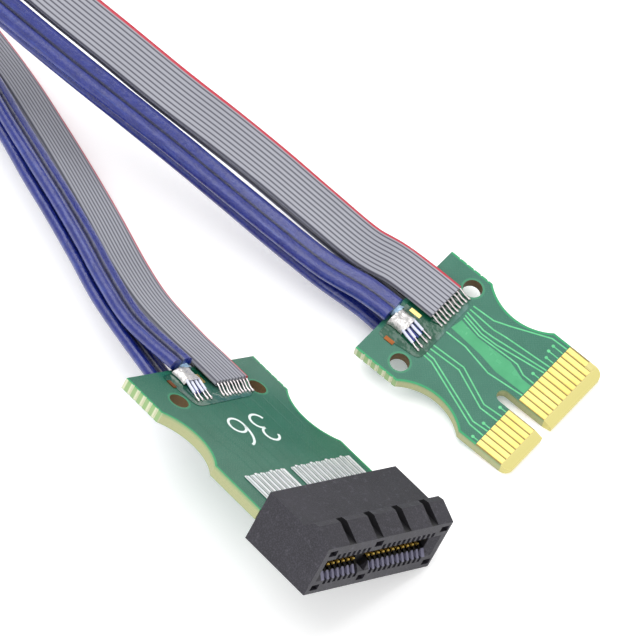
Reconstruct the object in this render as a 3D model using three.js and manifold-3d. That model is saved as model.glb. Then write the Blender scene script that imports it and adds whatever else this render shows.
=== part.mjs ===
// A flexible riser cable for a one-lane expansion card.
// A plug board with gold fingers and a socket board with a card slot are joined by two
// ten-core ribbon cables and two twin-core data cables. One ribbon and one data cable are
// soldered on the top face of each board, and the other pair on the underside.
// Millimetres, +Z up, standing on z = 0. Both boards point towards -Y and the cables loop
// round behind them.

import * as THREE from 'three'
import Module from 'manifold-3d'
import { mergeVertices } from 'three/addons/utils/BufferGeometryUtils.js'

const wasm = await Module()
wasm.setup()

// Clearances
const cordGap = 0.3
const seatGap = 0.1
const boardToHousing = 0.1

// Board outline, the same waist and holes on both boards
const boardThickness = 1.57
const waistStart = 6.9
const waistEnd = 17.4
const waistDepth = 2.05
const holeDiameter = 2.65
const holeFromCableEnd = 5.5
const notchRadius = 0.13
const notchPitch = 1.18
const notchCount = 5
const firstNotch = 1.5

// Plug board
const plugWidth = 20.3
const plugLength = 25.8
const cornerRadius = 1.1
const bevelLength = 1.3
const bevelDepth = 0.42
const keyWidth = 1.9
const keyDepth = 8.3
const fingerWidth = 0.7
const fingerHeight = 0.06
const fingerStart = 20.2
const fingerEnd = 24.4
const fingerSideGap = 0.3
const holeSideGap = 2.45
const holeSpacing = plugWidth - 2 * holeSideGap

// Pin rows, shared by fingers, contacts and slits. The key takes the place of two pins.
const pinsRight = 7
const pinsLeft = 11
const pinsInKey = 2
const pinSpan = plugWidth - fingerWidth - 2 * fingerSideGap
const pinPitch = pinSpan / (pinsRight + pinsInKey + pinsLeft - 1)
const pinToKey = pinPitch * (pinsInKey + 1) / 2
const keyCentre = pinSpan / 2 - (pinsRight - 1) * pinPitch - pinToKey

// Socket board
const socketBoardWidth = 25.0
const socketBoardLength = 26.0

// Socket housing
const housingWidth = 25.0
const housingDepth = 11.1
const housingHeight = 7.4
const slotWidth = 20.8
const slotHeight = 1.7
const slotDepth = 8.6
const mouthWidth = 23.0
const mouthHeight = 3.35
const mouthDepth = 0.75
const ribWidth = 1.6
const ribSetBack = 1.6
const ribVeeWidth = 2.6
const ribVeeRoot = 0.77
const slitWidth = 0.56
const slitReach = 4.8
const pocketWidth = 1.5
const pocketHeight = 0.85
const pocketDepth = 2.0
const pocketRise = 2.72
const pocketPlaces = [11.0, 1.9, -11.4]
const lipHeight = 1.35
const lipStart = 4.6
const lipCrest = 2.8
const lipCrestWidth = 0.9
const lipCrestFall = 0.15
const lipRoot = 0.2
const lipGrooves = [7.7, 2.3, -3.3, -8.85]
const lipGrooveWidth = 1.25

// Contacts, their bends measured in from the housing's back and front
const contactWidth = 0.42
const contactThickness = 0.24
const tailStart = 20.45
const contactRiseStart = 0.9
const contactRiseEnd = 2.2
const contactFallStart = 5.0
const contactFallEnd = 1.9
const contactBumpEnd = 1.4
const contactTipEnd = 0.7
const contactArch = 1.9
const contactBump = 0.48
const contactTip = 0.95
const guardTailSweep = 0.6
const guardTailBend = 1.2

// Cables
const ribbonWidth = 6.35
const ribbonThickness = 0.9
const ribbonCores = 10
const ribbonCentre = -3.2
const ribbonEnd = 4.4
const dataWidth = 3.9
const dataThickness = 1.7
const dataCentre = 2.9
const dataEnd = 0.3
const cordLead = 0.2
const cordSteps = 64

// Soldered ends
const bareWireLength = 1.75
const bareWireHeight = 0.32
const bareWireWidth = 0.3
const bareWireCrown = 0.18
const solderHeight = 0.1
const solderInset = 0.03
const shieldWidth = 3.0
const shieldLength = 2.7
const shieldHeight = 1.1
const shieldChamfer = 0.4
const shieldFromJacket = 0.3
const dataWireRoots = [1.9, 2.63, 3.37, 4.1]
const dataWireTips = [2.2, 2.95, 3.95, 4.7]
const dataWireWidth = 0.42
const dataWireTipWidth = 0.3
const dataWireHeight = 0.4
const dataWireInClip = 0.2
const dataWireEnd = 6.25
const resinFront = 7.0
const resinBack = 0.9
const resinLeft = -6.9
const resinRight = 6.3
const resinFlare = 0.9
const resinHeight = 0.35
const resinRim = 0.25

// How far a cutting solid runs past what it cuts
const overrun = 1
const sliver = 0.01
const arcSegments = 12
const holeSegments = 8

// Places of the two boards, by the middle of the cable end of their top faces
const plugPlace = { x: 19.1, y: 5.88, turn: 180, pitch: -6.96, lean: 0 }
const socketPlace = { x: -9.74, y: 18.27, turn: 169.39, pitch: 3.74, lean: -32.44 }

const green = new THREE.MeshStandardMaterial({ color: 0x2f7a62, roughness: 0.35 })
const blackPlastic = new THREE.MeshStandardMaterial({ color: 0x3b3842, roughness: 0.6 })
const gold = new THREE.MeshStandardMaterial({ color: 0xe6c45a, roughness: 0.3, metalness: 1 })
const tin = new THREE.MeshStandardMaterial({ color: 0xc9c9cc, roughness: 0.35, metalness: 1 })
const greyJacket = new THREE.MeshStandardMaterial({ color: 0x9c9ea6, roughness: 0.55 })
const blueJacket = new THREE.MeshStandardMaterial({ color: 0x28409c, roughness: 0.4 })
const resin = new THREE.MeshStandardMaterial({ color: 0x3f8f72, roughness: 0.15 })

const riser = new THREE.Group()
const plug = new THREE.Group()
const socket = new THREE.Group()
riser.add(plug, socket)

// Closed mesh to solid and back
function solidOf(geometry) {
  const bare = geometry.clone()
  bare.deleteAttribute('normal')
  bare.deleteAttribute('uv')
  const merged = mergeVertices(bare, 1e-5)
  return new wasm.Manifold(new wasm.Mesh({
    numProp: 3,
    vertProperties: new Float32Array(merged.attributes.position.array),
    triVerts: new Uint32Array(merged.index.array),
  }))
}

function geometryOf(solid) {
  const mesh = solid.getMesh()
  const geometry = new THREE.BufferGeometry()
  geometry.setAttribute('position', new THREE.BufferAttribute(mesh.vertProperties, 3))
  geometry.setIndex(new THREE.BufferAttribute(mesh.triVerts, 1))
  return geometry
}

function addPiece(group, name, solid, material) {
  const mesh = new THREE.Mesh(geometryOf(solid), material)
  mesh.name = name
  group.add(mesh)
}

// A block between two corners
function block(x0, x1, y0, y1, z0, z1) {
  const geometry = new THREE.BoxGeometry(x1 - x0, y1 - y0, z1 - z0)
  geometry.translate((x0 + x1) / 2, (y0 + y1) / 2, (z0 + z1) / 2)
  return solidOf(geometry)
}

// A shape drawn in x and y, standing from z0 to z1
function plate(shape, z0, z1) {
  const options = { depth: z1 - z0, bevelEnabled: false, curveSegments: arcSegments }
  const geometry = new THREE.ExtrudeGeometry(shape, options)
  geometry.translate(0, 0, z0)
  return solidOf(geometry)
}

// A shape drawn in y and z, running from x0 to x1
function sideProfile(points, x0, x1) {
  const shape = new THREE.Shape(points.map(([y, z]) => new THREE.Vector2(y, z)))
  const geometry = new THREE.ExtrudeGeometry(shape, { depth: x1 - x0, bevelEnabled: false })
  geometry.rotateX(Math.PI / 2)
  geometry.rotateZ(Math.PI / 2)
  geometry.translate(x0, 0, 0)
  return solidOf(geometry)
}

// A shape drawn in x and z, running from y0 to y1
function frontProfile(points, y0, y1) {
  const shape = new THREE.Shape(points.map(([x, z]) => new THREE.Vector2(x, z)))
  const geometry = new THREE.ExtrudeGeometry(shape, { depth: y1 - y0, bevelEnabled: false })
  geometry.rotateX(Math.PI / 2)
  geometry.translate(0, y1, 0)
  return solidOf(geometry)
}

// The same piece on the underside of a board
function underneath(solid) {
  const geometry = geometryOf(solid)
  geometry.scale(1, 1, -1)
  geometry.translate(0, 0, -boardThickness)
  geometry.index.array.reverse()
  return solidOf(geometry)
}

function join(solids) {
  return solids.reduce((sum, solid) => sum.add(solid))
}

const middle = -boardThickness / 2
const half = (width) => width / 2

// Places of the pins along a board's edge, right of the key and then left of it
const rightPins = Array.from({ length: pinsRight }, (_, i) => keyCentre + pinToKey + i * pinPitch)
const leftPins = Array.from({ length: pinsLeft }, (_, i) => keyCentre - pinToKey - i * pinPitch)
const pins = [...rightPins.reverse(), ...leftPins]

// Board outline with a round waist on each side, cable end at y = 0
function boardOutline(width, length, corner) {
  const waistMiddle = (waistStart + waistEnd) / 2
  const chord = (waistEnd - waistStart) / 2
  const radius = (chord * chord + waistDepth * waistDepth) / (2 * waistDepth)
  const spread = Math.asin(chord / radius)
  const edge = half(width)
  const centre = edge - waistDepth + radius
  const shape = new THREE.Shape()
  shape.moveTo(-edge, 0)
  shape.lineTo(edge, 0)
  shape.lineTo(edge, waistStart)
  shape.absarc(centre, waistMiddle, radius, Math.PI + spread, Math.PI - spread, true)
  if (corner > 0) {
    shape.absarc(edge - corner, length - corner, corner, 0, Math.PI / 2, false)
    shape.absarc(-edge + corner, length - corner, corner, Math.PI / 2, Math.PI, false)
  } else {
    shape.lineTo(edge, length)
    shape.lineTo(-edge, length)
  }
  shape.lineTo(-edge, waistEnd)
  shape.absarc(-centre, waistMiddle, radius, spread, -spread, true)
  shape.lineTo(-edge, 0)
  for (const side of [-1, 1]) {
    const hole = new THREE.Path()
    hole.absarc(side * half(holeSpacing), holeFromCableEnd, half(holeDiameter), 0, 2 * Math.PI, true)
    shape.holes.push(hole)
  }
  return shape
}

// A row of half-round plated notches in each long edge near the cable end
function edgeNotches(width) {
  const cuts = []
  for (const side of [-1, 1]) {
    for (let i = 0; i < notchCount; i++) {
      const height = boardThickness + overrun
      const cut = new THREE.CylinderGeometry(notchRadius, notchRadius, height, holeSegments)
      cut.rotateX(Math.PI / 2)
      cut.translate(side * half(width), firstNotch + i * notchPitch, middle)
      cuts.push(solidOf(cut))
    }
  }
  return join(cuts)
}

function makePlugBoard() {
  let solid = plate(boardOutline(plugWidth, plugLength, cornerRadius), -boardThickness, 0)
  solid = solid.subtract(edgeNotches(plugWidth))
  const key = new THREE.Shape()
  const keyEnd = plugLength - keyDepth + half(keyWidth)
  key.moveTo(keyCentre + half(keyWidth), plugLength + overrun)
  key.lineTo(keyCentre - half(keyWidth), plugLength + overrun)
  key.lineTo(keyCentre - half(keyWidth), keyEnd)
  key.absarc(keyCentre, keyEnd, half(keyWidth), Math.PI, 2 * Math.PI, false)
  key.lineTo(keyCentre + half(keyWidth), plugLength + overrun)
  solid = solid.subtract(plate(key, -boardThickness - overrun, overrun))
  const wedge = sideProfile([
    [plugLength - bevelLength, 0],
    [plugLength + bevelLength, -2 * bevelDepth],
    [plugLength + bevelLength, overrun],
    [plugLength - bevelLength, overrun],
  ], -plugWidth, plugWidth)
  solid = solid.subtract(wedge).subtract(underneath(wedge))
  const fingers = join(pins.map((x) => block(
    x - half(fingerWidth), x + half(fingerWidth), fingerStart, fingerEnd, -fingerHeight, fingerHeight)))
  return solid.add(fingers).add(underneath(fingers))
}

function makeSocketBoard() {
  const solid = plate(boardOutline(socketBoardWidth, socketBoardLength, 0), -boardThickness, 0)
  return solid.subtract(edgeNotches(socketBoardWidth))
}

// The housing's own planes
const housingBack = socketBoardLength + boardToHousing
const housingFront = housingBack + housingDepth
const housingTop = middle + half(housingHeight)
const housingBase = middle - half(housingHeight)

// The slot's tapered mouth
function mouth() {
  const geometry = new THREE.BoxGeometry(1, 1, 1)
  const position = geometry.attributes.position
  for (let i = 0; i < position.count; i++) {
    const front = position.getY(i) > 0
    position.setX(i, position.getX(i) * (front ? mouthWidth : slotWidth))
    position.setZ(i, middle + position.getZ(i) * (front ? mouthHeight : slotHeight))
    position.setY(i, front ? housingFront + sliver : housingFront - mouthDepth)
  }
  return solidOf(geometry)
}

// Raised lip along the top front edge, cut into five pads
function lip() {
  const profile = [
    [housingFront - lipStart, housingTop - lipRoot],
    [housingFront, housingTop - lipRoot],
    [housingFront, housingTop],
    [housingFront - lipCrest, housingTop + lipHeight],
    [housingFront - lipCrest - lipCrestWidth, housingTop + lipHeight - lipCrestFall],
    [housingFront - lipStart, housingTop],
  ]
  const ends = [half(housingWidth), ...lipGrooves.flatMap((x) => [
    x + half(lipGrooveWidth), x - half(lipGrooveWidth)]), -half(housingWidth)]
  const pads = []
  for (let i = 0; i < ends.length; i += 2) {
    pads.push(sideProfile(profile, ends[i + 1], ends[i]))
  }
  return join(pads)
}

function makeHousing() {
  const w = half(housingWidth)
  let solid = block(-w, w, housingBack, housingFront, housingBase, housingTop)
  solid = solid.add(lip())
  let slot = block(-half(slotWidth), half(slotWidth), housingFront - slotDepth, housingFront + overrun,
    middle - half(slotHeight), middle + half(slotHeight))
  const rib = block(keyCentre - half(ribWidth), keyCentre + half(ribWidth),
    housingFront - slotDepth - overrun, housingFront - ribSetBack, middle - slotHeight, middle + slotHeight)
  slot = slot.subtract(rib)
  solid = solid.subtract(slot).subtract(mouth())
  for (const up of [-1, 1]) {
    const vee = frontProfile([
      [keyCentre - half(ribVeeWidth), middle + up * ribVeeRoot],
      [keyCentre + half(ribVeeWidth), middle + up * ribVeeRoot],
      [keyCentre, middle + up * half(mouthHeight)],
    ], housingFront - ribSetBack, housingFront + overrun)
    solid = solid.subtract(vee)
    for (const x of pocketPlaces) {
      const z = middle + up * pocketRise
      solid = solid.subtract(block(x - half(pocketWidth), x + half(pocketWidth),
        housingFront - pocketDepth, housingFront + overrun, z - half(pocketHeight), z + half(pocketHeight)))
    }
  }
  const slits = join(pins.map((x) => block(x - half(slitWidth), x + half(slitWidth),
    housingBack - overrun, housingFront + overrun, middle - half(slitReach), middle + half(slitReach))))
  return solid.subtract(slits)
}

// Even-thickness strip along a line of points
function stripOutline(line, thickness) {
  const points = line.map(([y, z]) => new THREE.Vector2(y, z))
  const across = points.map((point, i) => {
    const before = points[Math.max(i - 1, 0)]
    const after = points[Math.min(i + 1, points.length - 1)]
    const run = after.clone().sub(before).normalize()
    return new THREE.Vector2(-run.y, run.x).multiplyScalar(half(thickness))
  })
  const upper = points.map((point, i) => point.clone().add(across[i]).toArray())
  const lower = points.map((point, i) => point.clone().sub(across[i]).toArray())
  return [...lower, ...upper.reverse()]
}

const tailLevel = seatGap + half(contactThickness)

function makeContact(x) {
  const rest = -middle + tailLevel
  const line = [
    [tailStart, rest],
    [housingBack + contactRiseStart, rest],
    [housingBack + contactRiseEnd, contactArch],
    [housingFront - contactFallStart, contactArch],
    [housingFront - contactFallEnd, contactBump],
    [housingFront - contactBumpEnd, contactBump],
    [housingFront - contactTipEnd, contactTip],
  ].map(([y, z]) => [y, middle + z])
  return sideProfile(stripOutline(line, contactThickness), x - half(contactWidth), x + half(contactWidth))
}

// A short tail beside each row, its root bent to the left
function makeGuardTail(x) {
  const w = half(contactWidth)
  const bend = socketBoardLength - guardTailBend
  const shape = new THREE.Shape([
    new THREE.Vector2(x + w, tailStart),
    new THREE.Vector2(x + w, bend),
    new THREE.Vector2(x + w - guardTailSweep, socketBoardLength - seatGap),
    new THREE.Vector2(x - w - guardTailSweep, socketBoardLength - seatGap),
    new THREE.Vector2(x - w, bend),
    new THREE.Vector2(x - w, tailStart),
  ])
  return plate(shape, tailLevel - half(contactThickness), tailLevel + half(contactThickness))
}

// Ten bared wires of a ribbon with the solder between them
const corePitch = ribbonWidth / ribbonCores
const wireRowStart = ribbonEnd + seatGap
const wireRowEnd = wireRowStart + bareWireLength

function makeWireRow() {
  const left = ribbonCentre - half(ribbonWidth)
  const foot = seatGap
  const outline = [[left + solderInset, foot], [left + ribbonWidth - solderInset, foot]]
  for (let i = ribbonCores - 1; i >= 0; i--) {
    const x = left + (i + 0.5) * corePitch
    outline.push([x + half(bareWireWidth), foot + solderHeight])
    outline.push([x + half(bareWireCrown), foot + bareWireHeight])
    outline.push([x - half(bareWireCrown), foot + bareWireHeight])
    outline.push([x - half(bareWireWidth), foot + solderHeight])
  }
  return frontProfile(outline, wireRowStart, wireRowEnd)
}

// Folded shield clip of a data cable and the four wires that leave it
const shieldStart = dataEnd + shieldFromJacket
const shieldEnd = shieldStart + shieldLength

function makeDataEnd() {
  const w = half(shieldWidth)
  const crown = seatGap + shieldHeight
  const clip = frontProfile([
    [dataCentre - w, seatGap],
    [dataCentre + w, seatGap],
    [dataCentre + w, crown - shieldChamfer],
    [dataCentre + w - shieldChamfer, crown],
    [dataCentre - w + shieldChamfer, crown],
    [dataCentre - w, crown - shieldChamfer],
  ], shieldStart, shieldEnd)
  const wires = dataWireRoots.map((root, i) => {
    const tip = dataWireTips[i]
    const shape = new THREE.Shape([
      new THREE.Vector2(root - half(dataWireWidth), shieldEnd - dataWireInClip),
      new THREE.Vector2(root + half(dataWireWidth), shieldEnd - dataWireInClip),
      new THREE.Vector2(tip + half(dataWireTipWidth), dataWireEnd),
      new THREE.Vector2(tip - half(dataWireTipWidth), dataWireEnd),
    ])
    return plate(shape, seatGap, seatGap + dataWireHeight)
  })
  return join([clip, ...wires])
}

// Cured resin round the soldered ends, open where they lie
function makeResin() {
  const shape = new THREE.Shape([
    new THREE.Vector2(resinLeft, resinBack),
    new THREE.Vector2(resinRight + resinFlare, resinBack),
    new THREE.Vector2(resinRight, resinFront),
    new THREE.Vector2(resinLeft, resinFront),
  ])
  let solid = plate(shape, seatGap, seatGap + resinHeight)
  const top = seatGap + resinHeight + overrun
  const ribbonSide = half(ribbonWidth) + resinRim
  solid = solid.subtract(block(ribbonCentre - ribbonSide, ribbonCentre + ribbonSide,
    resinBack - overrun, wireRowEnd + seatGap, 0, top))
  const dataSide = half(dataWidth) + cordGap
  solid = solid.subtract(block(dataCentre - dataSide, dataCentre + dataSide,
    resinBack - overrun, dataWireEnd + seatGap, 0, top))
  return solid
}

// A flat cable swept along chosen points. Each point also says how far the cable's width
// is turned about its run, in degrees, from lying level.
class FlatRoute extends THREE.CatmullRomCurve3 {
  constructor(points, turns) {
    super(points, false, 'centripetal')
    this.turns = turns
  }

  turnAt(u) {
    const place = this.getUtoTmapping(u) * (this.turns.length - 1)
    const i = Math.min(Math.floor(place), this.turns.length - 2)
    return THREE.MathUtils.lerp(this.turns[i], this.turns[i + 1], place - i)
  }

  computeFrenetFrames(segments) {
    const tangents = []
    const normals = []
    const binormals = []
    for (let i = 0; i <= segments; i++) {
      const u = i / segments
      const tangent = this.getTangentAt(u)
      const level = new THREE.Vector3(1, 0, 0).addScaledVector(tangent, -tangent.x).normalize()
      level.applyAxisAngle(tangent, THREE.MathUtils.degToRad(this.turnAt(u)))
      tangents.push(tangent)
      normals.push(level)
      binormals.push(new THREE.Vector3().crossVectors(tangent, level))
    }
    return { tangents, normals, binormals }
  }
}

function flatSection() {
  const w = half(ribbonWidth)
  const h = half(ribbonThickness)
  const cut = h * 0.6
  return new THREE.Shape([[w, -h + cut], [w, h - cut], [w - cut, h], [-w + cut, h],
    [-w, h - cut], [-w, -h + cut], [-w + cut, -h], [w - cut, -h]].map(([x, y]) => new THREE.Vector2(x, y)))
}

// Two round cores side by side in one jacket
function twinSection() {
  const h = half(dataThickness)
  const offset = half(dataWidth) - h
  const points = []
  for (const side of [1, -1]) {
    for (const angle of [-72, -36, 0, 36, 72]) {
      const a = THREE.MathUtils.degToRad(angle)
      points.push(new THREE.Vector2(side * (offset + h * Math.cos(a)), side * h * Math.sin(a)))
    }
    points.push(new THREE.Vector2(0, side * h * 0.7))
  }
  return new THREE.Shape(points)
}

// Set a board down by its place and angles, with its lowest corner on z = 0
function settle(group, place, corners) {
  const toRadians = THREE.MathUtils.degToRad
  group.rotation.set(toRadians(place.pitch), toRadians(place.lean), toRadians(place.turn), 'ZXY')
  const lowest = Math.min(...corners.map((corner) => corner.clone().applyEuler(group.rotation).z))
  group.position.set(place.x, place.y, -lowest)
  group.updateMatrixWorld(true)
}

const plugCorners = [
  new THREE.Vector3(0, plugLength, -boardThickness + bevelDepth),
  new THREE.Vector3(0, plugLength - bevelLength, -boardThickness),
  new THREE.Vector3(0, fingerEnd, -boardThickness - fingerHeight),
]
const socketCorners = [housingBack, housingFront].flatMap((y) => [-1, 1].map((side) => (
  new THREE.Vector3(side * half(housingWidth), y, housingBase))))
settle(plug, plugPlace, plugCorners)
settle(socket, socketPlace, socketCorners)

// Where a cable lies on a board: two points, the second at the board's cable end
function onBoard(group, centre, end, thickness, under) {
  const rise = cordGap + half(thickness)
  const z = under ? -boardThickness - rise : rise
  return [end, -cordLead].map((y) => group.localToWorld(new THREE.Vector3(centre, y, z)))
}

// Points and turns of the free stretch of each cable, from the plug board round to the socket board
const outerRibbonRoute = [
  [22.0, 9.8, 6.0, 0], [20.9, 13.6, 7.1, -1], [20.5, 21.7, 9.0, -3], [20.2, 29.4, 10.9, -6],
  [19.6, 37.1, 12.9, -9], [18.7, 44.8, 15.1, -12], [17.8, 54.5, 18.0, -14], [16.8, 63.9, 21.0, -16],
  [16.1, 71.9, 23.9, -17], [15.5, 79.9, 27.0, -17], [15.1, 86.9, 29.9, -17], [15.0, 93.4, 32.3, -17],
  [15.0, 99.9, 33.4, -17], [15.2, 107.9, 31.3, -17], [15.9, 113.7, 25.4, -17], [16.8, 115.9, 17.4, -17],
  [17.8, 113.7, 9.5, -17], [18.6, 107.9, 3.8, -17], [19.1, 99.9, 1.8, -17], [18.9, 92.9, 1.9, -18],
  [17.6, 85.9, 2.2, -22], [15.5, 77.9, 2.4, -27], [12.5, 68.1, 2.6, -33], [9.2, 59.7, 2.9, -33],
  [5.6, 51.4, 3.4, -33], [1.7, 43.3, 3.9, -33], [-2.3, 35.1, 4.5, -33], [-5.2, 28.9, 4.8, -33],
  [-7.2, 22.7, 5.1, -33],
]
const innerRibbonRoute = [
  [22.1, 11.1, 3.4, 0], [20.7, 20.2, 7.1, -3], [20.5, 26.2, 8.6, -5], [20.2, 32.2, 10.2, -7],
  [19.5, 40.3, 12.4, -10], [18.7, 48.3, 14.7, -13], [18.0, 56.3, 17.2, -15], [17.2, 64.3, 19.7, -16],
  [16.5, 72.4, 22.5, -17], [15.9, 80.4, 25.7, -17], [15.5, 87.4, 28.7, -17], [15.4, 93.8, 31.0, -17],
  [15.4, 99.9, 32.0, -17], [15.6, 107.2, 30.1, -17], [16.3, 112.6, 24.7, -17], [17.2, 114.5, 17.4, -17],
  [18.2, 112.6, 10.2, -17], [19.0, 107.3, 5.0, -17], [19.5, 99.8, 3.2, -17], [19.4, 93.9, 3.2, -18],
  [18.1, 85.8, 3.5, -22], [16.1, 77.7, 3.7, -27], [13.2, 67.9, 3.9, -33], [9.9, 59.6, 4.2, -33],
  [6.3, 51.3, 4.6, -33], [2.6, 43.4, 5.1, -33], [-1.5, 35.1, 5.7, -33], [-3.8, 29.5, 6.2, -33],
  [-5.9, 22.0, 7.3, -33],
]
const outerDataRoute = [
  [15.9, 9.9, 6.4, 0], [14.9, 15.7, 7.2, -1], [14.5, 24.3, 8.7, -3], [14.2, 32.6, 10.4, -4],
  [13.7, 40.9, 12.5, -6], [12.9, 49.1, 14.8, -8], [12.0, 57.4, 17.3, -10], [11.2, 65.6, 19.9, -12],
  [10.6, 72.1, 22.2, -15], [10.0, 80.2, 25.4, -17], [9.6, 87.3, 28.3, -17], [9.5, 93.9, 30.7, -17],
  [9.5, 99.9, 31.7, -17], [9.7, 107.3, 29.7, -17], [10.4, 112.6, 24.1, -17], [11.3, 114.2, 16.7, -17],
  [12.3, 112.0, 9.7, -17], [13.1, 106.7, 4.9, -17], [13.6, 99.6, 3.4, -17], [13.5, 94.4, 3.5, -18],
  [12.4, 87.2, 4.2, -22], [10.6, 79.3, 4.9, -27], [8.2, 71.2, 5.5, -32], [4.3, 61.0, 5.8, -33],
  [1.1, 54.1, 6.1, -33], [-1.9, 47.3, 6.5, -33], [-5.1, 40.5, 7.0, -33], [-8.4, 33.8, 7.5, -33],
  [-12.0, 24.2, 8.1, -33],
]
const innerDataRoute = [
  [16.0, 10.1, 2.9, 0], [15.0, 16.1, 4.7, -1], [14.6, 24.4, 6.5, -3], [14.4, 32.4, 8.2, -4],
  [14.0, 40.5, 10.2, -6], [13.3, 48.5, 12.5, -8], [12.4, 57.5, 15.2, -10], [11.7, 65.5, 17.7, -12],
  [11.2, 72.6, 20.1, -15], [10.7, 80.7, 23.2, -17], [10.2, 87.7, 26.2, -17], [10.1, 94.0, 28.6, -17],
  [10.1, 99.9, 29.6, -17], [10.3, 106.1, 28.1, -17], [11.0, 110.5, 23.6, -17], [11.9, 112.2, 17.4, -17],
  [12.9, 110.6, 11.3, -17], [13.7, 106.1, 6.9, -17], [14.2, 99.7, 5.4, -17], [14.1, 94.0, 5.5, -18],
  [12.9, 85.9, 6.3, -23], [11.2, 77.8, 6.9, -28], [8.8, 69.6, 7.4, -33], [5.0, 60.6, 7.6, -33],
  [2.1, 53.8, 7.9, -33], [-0.7, 47.3, 8.3, -33], [-3.7, 40.8, 8.7, -33], [-6.9, 34.4, 9.2, -33],
  [-9.7, 27.8, 9.9, -33],
]

// A cable from the plug board's top to the socket board's underside, or the other way about
function makeCord(section, route, centre, end, thickness, startsUnder) {
  const start = onBoard(plug, centre, end, thickness, startsUnder)
  const finish = onBoard(socket, centre, end, thickness, !startsUnder).reverse()
  const free = route.map(([x, y, z]) => new THREE.Vector3(x, y, z))
  const turns = route.map((point) => point[3])
  const last = turns[turns.length - 1]
  const path = new FlatRoute([...start, ...free, ...finish], [0, 0, ...turns, last, last])
  return solidOf(new THREE.ExtrudeGeometry(section, { steps: cordSteps, extrudePath: path }))
}

addPiece(plug, 'plug_board', makePlugBoard(), green)
addPiece(socket, 'socket_board', makeSocketBoard(), green)
addPiece(socket, 'socket_housing', makeHousing(), blackPlastic)

pins.forEach((x, i) => {
  const number = String(i + 1).padStart(2, '0')
  const contact = makeContact(x)
  addPiece(socket, `contact_top_${number}`, contact, gold)
  addPiece(socket, `contact_bottom_${number}`, underneath(contact), gold)
})
addPiece(socket, 'guard_tail_right', makeGuardTail(keyCentre + pinToKey - pinPitch), tin)
addPiece(socket, 'guard_tail_left', makeGuardTail(Math.min(...pins) - pinPitch), tin)

for (const [board, group] of [['plug', plug], ['socket', socket]]) {
  for (const [face, place] of [['top', (solid) => solid], ['bottom', underneath]]) {
    addPiece(group, `wire_row_${board}_${face}`, place(makeWireRow()), tin)
    addPiece(group, `data_end_${board}_${face}`, place(makeDataEnd()), tin)
    addPiece(group, `resin_${board}_${face}`, place(makeResin()), resin)
  }
}

for (const [name, under, ribbonRoute, dataRoute] of [
  ['outer', false, outerRibbonRoute, outerDataRoute],
  ['inner', true, innerRibbonRoute, innerDataRoute],
]) {
  const ribbon = makeCord(flatSection(), ribbonRoute, ribbonCentre, ribbonEnd, ribbonThickness, under)
  addPiece(riser, `ribbon_${name}`, ribbon, greyJacket)
  const data = makeCord(twinSection(), dataRoute, dataCentre, dataEnd, dataThickness, under)
  addPiece(riser, `data_cable_${name}`, data, blueJacket)
}

export default riser
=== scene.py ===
"""Looks of the flexible riser cable: two small circuit boards joined by two grey ribbon
cables and two blue data cables. Board places are in millimetres in each board's own
frame: v runs right, u outward from the cable end, w up from the top face."""

import math

import bmesh
import bpy
from mathutils import Matrix, Vector, noise


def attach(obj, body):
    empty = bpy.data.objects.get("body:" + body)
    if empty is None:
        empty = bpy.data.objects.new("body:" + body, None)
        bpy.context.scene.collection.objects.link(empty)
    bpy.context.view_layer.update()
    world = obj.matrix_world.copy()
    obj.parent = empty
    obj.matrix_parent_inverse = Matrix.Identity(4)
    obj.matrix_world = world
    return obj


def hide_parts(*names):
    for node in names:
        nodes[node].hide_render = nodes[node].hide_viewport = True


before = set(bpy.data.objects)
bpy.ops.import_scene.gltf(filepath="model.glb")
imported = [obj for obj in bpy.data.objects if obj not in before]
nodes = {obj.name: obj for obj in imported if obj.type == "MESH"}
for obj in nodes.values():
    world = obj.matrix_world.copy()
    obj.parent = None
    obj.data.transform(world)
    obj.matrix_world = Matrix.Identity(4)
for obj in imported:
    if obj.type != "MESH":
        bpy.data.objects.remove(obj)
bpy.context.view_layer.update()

MM = 0.001

# Boards
THICKNESS = 1.57
UNDERSIDE = -THICKNESS
MIDDLE = -THICKNESS / 2
PLUG_WIDTH = 20.3
PLUG_LENGTH = 25.8
SOCKET_WIDTH = 25.0
SOCKET_LENGTH = 26.0
WAIST_START = 6.9
WAIST_END = 17.4
WAIST_DEPTH = 2.05
HOLE_PLACE = 7.7
HOLE_FROM_END = 5.5
HOLE_RADIUS = 1.325
FINGER_START = 20.2
FINGER_END = 24.4
KEY_CENTRE = 2.0
RIGHT_PINS = [KEY_CENTRE + 1.5 + i for i in range(6, -1, -1)]
LEFT_PINS = [KEY_CENTRE - 1.5 - i for i in range(11)]
PINS = RIGHT_PINS + LEFT_PINS
HOUSING_BACK = 26.1
HOUSING_FRONT = 37.2
LIP_START = 4.6
LIP_GROOVES = (7.7, 2.3, -3.3, -8.85)
LIP_GROOVE_WIDTH = 1.25

# Cables
CORD_GAP = 0.3
RIBBON_WIDTH = 6.35
RIBBON_THICKNESS = 0.9
RIBBON_CORES = 10
CORE_PITCH = RIBBON_WIDTH / RIBBON_CORES
RIBBON_CENTRE = -3.2
RIBBON_END = 4.4
DATA_WIDTH = 3.9
DATA_THICKNESS = 1.7
DATA_CENTRE = 2.9
DATA_END = 0.3
CORD_LEAD = 0.2
CORD_RINGS = 360


def board_matrix(x, y, z, turn, pitch, lean):
    """Board frame in millimetres to the row frame in metres."""
    turned = Matrix.Rotation(math.radians(turn), 4, "Z")
    pitched = Matrix.Rotation(math.radians(pitch), 4, "X")
    leaned = Matrix.Rotation(math.radians(lean), 4, "Y")
    place = Matrix.Translation(Vector((x, y, z)) * MM)
    return place @ turned @ pitched @ leaned @ Matrix.Scale(MM, 4)


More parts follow.
